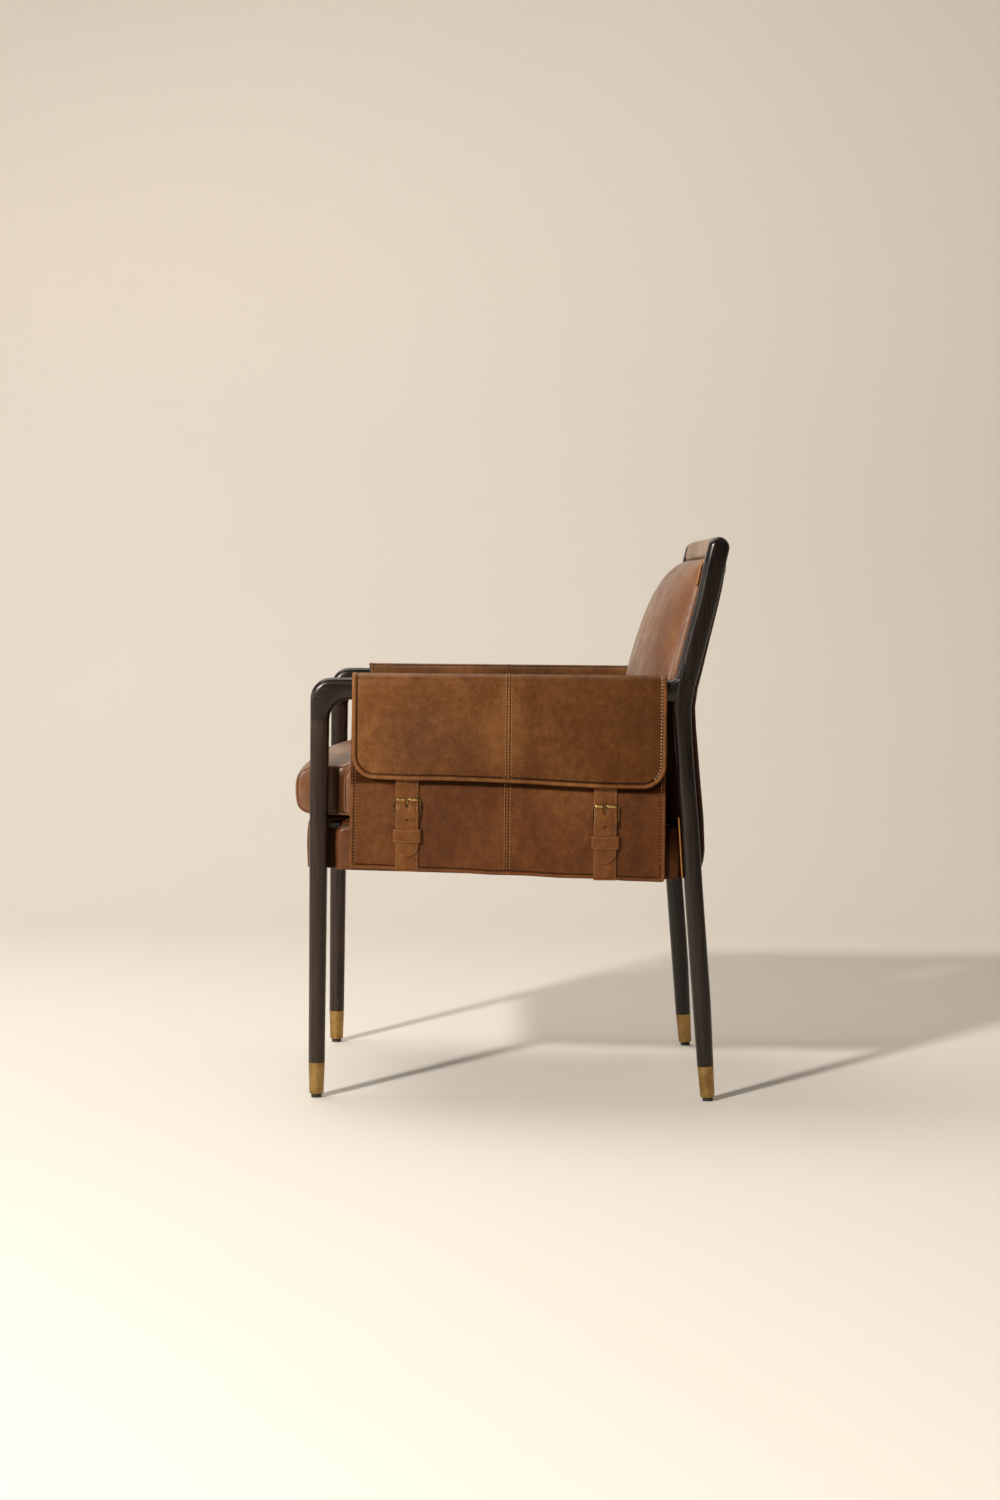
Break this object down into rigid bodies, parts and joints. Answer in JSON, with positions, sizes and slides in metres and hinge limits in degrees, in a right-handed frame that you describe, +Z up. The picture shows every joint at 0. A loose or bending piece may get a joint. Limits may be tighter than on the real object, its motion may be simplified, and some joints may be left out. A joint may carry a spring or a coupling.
{
  "type": "dining armchair",
  "caption": "Dining armchair with a slim dark wood frame, padded leather seat and back, and a buckled leather saddlebag flap over each arm.",
  "frame": {"origin": "on the floor, under the middle of the box round the chair", "axes": "+Z up, the chair faces -Y, its own left side is +X"},
  "size_m": [0.5748, 0.6446, 0.8339],
  "materials": {
    "dark_wood": "ebonised open grain, satin lacquer",
    "frame_wood": "unfinished inner frame timber and plywood",
    "cushion_leather": "tobacco pull-up leather over foam, semi-matt",
    "upholstery_leather": "tobacco pull-up leather drawn over the frame, semi-matt",
    "saddle_leather": "firm tobacco saddle leather, stitched, semi-matt",
    "strap_leather": "firm strap leather, stitched along both edges",
    "black_cambric": "woven black dust cover",
    "satin_brass": "brushed satin",
    "antique_brass": "antique, worn bright on the bars",
    "black_glide": "matt black"
  },
  "bodies": {
    "chair": {"back_board": "frame_wood", "back_cushion": "cushion_leather", "crest_rail": "frame_wood", "crest_wrap": "upholstery_leather", "dust_cover": "black_cambric", "left_arm_rail": "dark_wood", "left_arm_wrap": "saddle_leather", "left_back_post": "dark_wood", "left_front_base_strap": "strap_leather", "left_front_buckle_frame": "antique_brass", "left_front_corner_block": "frame_wood", "left_front_ferrule": "satin_brass", "left_front_glide": "black_glide", "left_front_keeper": "strap_leather", "left_front_leg": "dark_wood", "left_front_tip_strap": "strap_leather", "left_rear_base_strap": "strap_leather", "left_rear_buckle_frame": "antique_brass", "left_rear_corner_block": "frame_wood", "left_rear_ferrule": "satin_brass", "left_rear_glide": "black_glide", "left_rear_keeper": "strap_leather", "left_rear_tip_strap": "strap_leather", "left_side_panel": "saddle_leather", "left_wing_strip": "frame_wood", "lower_back_rail": "frame_wood", "outer_back_panel": "upholstery_leather", "right_arm_rail": "dark_wood", "right_arm_wrap": "saddle_leather", "right_back_post": "dark_wood", "right_front_base_strap": "strap_leather", "right_front_buckle_frame": "antique_brass", "right_front_corner_block": "frame_wood", "right_front_ferrule": "satin_brass", "right_front_glide": "black_glide", "right_front_keeper": "strap_leather", "right_front_leg": "dark_wood", "right_front_tip_strap": "strap_leather", "right_rear_base_strap": "strap_leather", "right_rear_buckle_frame": "antique_brass", "right_rear_corner_block": "frame_wood", "right_rear_ferrule": "satin_brass", "right_rear_glide": "black_glide", "right_rear_keeper": "strap_leather", "right_rear_tip_strap": "strap_leather", "right_side_panel": "saddle_leather", "right_wing_strip": "frame_wood", "seat_back_rail": "frame_wood", "seat_base_cover": "upholstery_leather", "seat_cushion": "cushion_leather", "seat_deck": "frame_wood", "seat_front_rail": "frame_wood", "seat_left_rail": "frame_wood", "seat_right_rail": "frame_wood"},
    "left_flap_leaf": {"left_flap": "saddle_leather"},
    "right_flap_leaf": {"right_flap": "saddle_leather"},
    "left_front_prong_tongue": {"left_front_prong": "antique_brass"},
    "left_rear_prong_tongue": {"left_rear_prong": "antique_brass"},
    "right_front_prong_tongue": {"right_front_prong": "antique_brass"},
    "right_rear_prong_tongue": {"right_rear_prong": "antique_brass"}
  },
  "joints": [
    {"name": "left_flap_hinge", "type": "hinge", "parent": "chair", "child": "left_flap_leaf", "pos_m": [0.26425, 0, 0.613], "axis": [0, -1, 0], "range_deg": [0, 120]},
    {"name": "right_flap_hinge", "type": "hinge", "parent": "chair", "child": "right_flap_leaf", "pos_m": [-0.26425, 0, 0.613], "axis": [0, 1, 0], "range_deg": [0, 120]},
    {"name": "left_front_prong_hinge", "type": "hinge", "parent": "chair", "child": "left_front_prong_tongue", "pos_m": [0.2818, -0.147, 0.42198], "axis": [0, 1, 0], "range_deg": [0, 15]},
    {"name": "left_rear_prong_hinge", "type": "hinge", "parent": "chair", "child": "left_rear_prong_tongue", "pos_m": [0.2818, 0.144, 0.41471], "axis": [0, 1, 0], "range_deg": [0, 15]},
    {"name": "right_front_prong_hinge", "type": "hinge", "parent": "chair", "child": "right_front_prong_tongue", "pos_m": [-0.2818, -0.147, 0.42198], "axis": [0, -1, 0], "range_deg": [0, 15]},
    {"name": "right_rear_prong_hinge", "type": "hinge", "parent": "chair", "child": "right_rear_prong_tongue", "pos_m": [-0.2818, 0.144, 0.41471], "axis": [0, -1, 0], "range_deg": [0, 15]}
  ]
}
